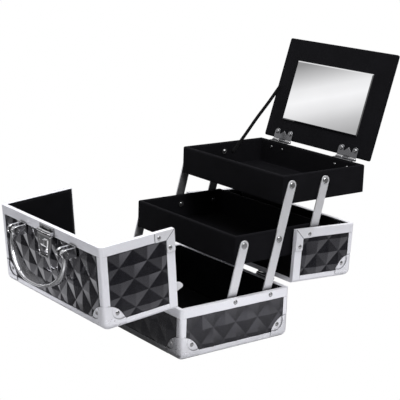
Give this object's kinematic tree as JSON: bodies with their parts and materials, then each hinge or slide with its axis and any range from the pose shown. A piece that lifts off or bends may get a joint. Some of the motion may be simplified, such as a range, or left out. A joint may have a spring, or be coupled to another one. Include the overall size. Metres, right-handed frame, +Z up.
{
  "type": "makeup train case",
  "caption": "Aluminium-framed makeup train case shown open: split lids folded out, cantilever trays raised, mirror lid up, with a bail handle and hasp.",
  "frame": {"origin": "under the middle of the open case's overall box, on the plane it rests on", "axes": "+X the case's width towards the user's right, +Y towards its rear, +Z up"},
  "size_m": [0.2444, 0.5026, 0.3596],
  "materials": {
    "diamond_skin": "glossy",
    "aluminium": "satin anodised",
    "bright_steel": "bright",
    "chrome": "polished",
    "black_velvet": "velvet",
    "velvet_board": "board covered in velvet",
    "black_board": "laminated",
    "mirror": "silvered",
    "ribbon": "woven"
  },
  "bodies": {
    "base": {"base_floor_board": "black_board", "base_front_panel": "diamond_skin", "base_rear_panel": "diamond_skin", "base_left_panel": "diamond_skin", "base_right_panel": "diamond_skin", "base_edge_bars": "aluminium", "base_rim": "aluminium", "base_corner_caps": "bright_steel", "base_cap_rivets": "bright_steel", "base_lining": "black_velvet", "arm_base_rivets": "bright_steel", "base_hinge_leaves": "bright_steel", "lid_hinge_pins": "bright_steel"},
    "front_lid": {"front_lid_top_panel": "diamond_skin", "front_lid_end_panel": "diamond_skin", "front_lid_left_panel": "diamond_skin", "front_lid_right_panel": "diamond_skin", "front_lid_edge_bars": "aluminium", "front_lid_rim": "aluminium", "front_lid_corner_caps": "bright_steel", "front_lid_corner_plates": "bright_steel", "front_lid_rivets": "bright_steel", "front_lid_lining": "black_velvet", "front_lid_hinge_leaves": "bright_steel", "locating_tongues": "aluminium", "handle_brackets": "chrome", "handle_pins": "chrome", "hasp_leaf": "chrome", "hasp_pin": "chrome"},
    "rear_lid": {"rear_lid_top_panel": "diamond_skin", "rear_lid_end_panel": "diamond_skin", "rear_lid_left_panel": "diamond_skin", "rear_lid_right_panel": "diamond_skin", "rear_lid_edge_bars": "aluminium", "rear_lid_rim": "aluminium", "rear_lid_corner_caps": "bright_steel", "rear_lid_corner_plates": "bright_steel", "rear_lid_rivets": "bright_steel", "rear_lid_lining": "black_velvet", "rear_lid_hinge_leaves": "bright_steel", "latch_catch": "chrome"},
    "handle": {"handle_bail": "chrome"},
    "hasp": {"hasp_plate": "chrome"},
    "long_arms": {"long_arms": "bright_steel"},
    "front_arms": {"front_arms": "bright_steel"},
    "rear_arms": {"rear_arms": "bright_steel"},
    "lower_tray": {"lower_tray_walls": "velvet_board", "lower_tray_floor": "velvet_board", "lower_tray_rivets": "bright_steel"},
    "upper_tray": {"upper_tray_walls": "velvet_board", "upper_tray_floor": "velvet_board", "upper_tray_rivets": "bright_steel", "mirror_hinge_tray_leaves": "bright_steel", "mirror_hinge_pins": "bright_steel", "stay_ribbon": "ribbon"},
    "mirror_lid": {"mirror_lid_board": "velvet_board", "mirror_glass": "mirror", "mirror_hinge_lid_leaves": "bright_steel"}
  },
  "joints": [
    {"name": "front_lid_hinge", "type": "hinge", "parent": "base", "child": "front_lid", "pos_m": [0, -0.11719, 0.06725], "axis": [-1, 0, 0], "range_deg": [0, 95.4]},
    {"name": "rear_lid_hinge", "type": "hinge", "parent": "base", "child": "rear_lid", "pos_m": [0, 0.06581, 0.06725], "axis": [1, 0, 0], "range_deg": [0, 20]},
    {"name": "tray_fold", "type": "hinge", "parent": "base", "child": "long_arms", "pos_m": [0, 0.02981, 0.0624], "axis": [1, 0, 0], "range_deg": [0, 71]},
    {"name": "lower_tray_level", "type": "hinge", "parent": "long_arms", "child": "lower_tray", "pos_m": [0, 0.04747, 0.13168], "axis": [1, 0, 0], "range_deg": [-71, 0]},
    {"name": "upper_tray_level", "type": "hinge", "parent": "long_arms", "child": "upper_tray", "pos_m": [0, 0.06513, 0.20097], "axis": [1, 0, 0], "range_deg": [-71, 0]},
    {"name": "front_arm_swing", "type": "hinge", "parent": "base", "child": "front_arms", "pos_m": [0, -0.02819, 0.0624], "axis": [1, 0, 0], "range_deg": [0, 71]},
    {"name": "rear_arm_swing", "type": "hinge", "parent": "lower_tray", "child": "rear_arms", "pos_m": [0, 0.10547, 0.13168], "axis": [1, 0, 0], "range_deg": [0, 71]},
    {"name": "mirror_lid_hinge", "type": "hinge", "parent": "upper_tray", "child": "mirror_lid", "pos_m": [0, 0.20073, 0.21507], "axis": [1, 0, 0], "range_deg": [0, 107.2], "deforming": ["stay_ribbon"]},
    {"name": "handle_swing", "type": "hinge", "parent": "front_lid", "child": "handle", "pos_m": [0, -0.24379, 0.14468], "axis": [-1, 0, 0], "range_deg": [-5, 165]},
    {"name": "hasp_flip", "type": "hinge", "parent": "front_lid", "child": "hasp", "pos_m": [0, -0.23438, 0.15561], "axis": [-1, 0, 0], "range_deg": [0, 170]}
  ],
  "couplings": [
    {"joint": "lower_tray_level", "follows": "tray_fold", "ratio": -1},
    {"joint": "upper_tray_level", "follows": "tray_fold", "ratio": -1},
    {"joint": "front_arm_swing", "follows": "tray_fold", "ratio": 1},
    {"joint": "rear_arm_swing", "follows": "tray_fold", "ratio": 1}
  ]
}
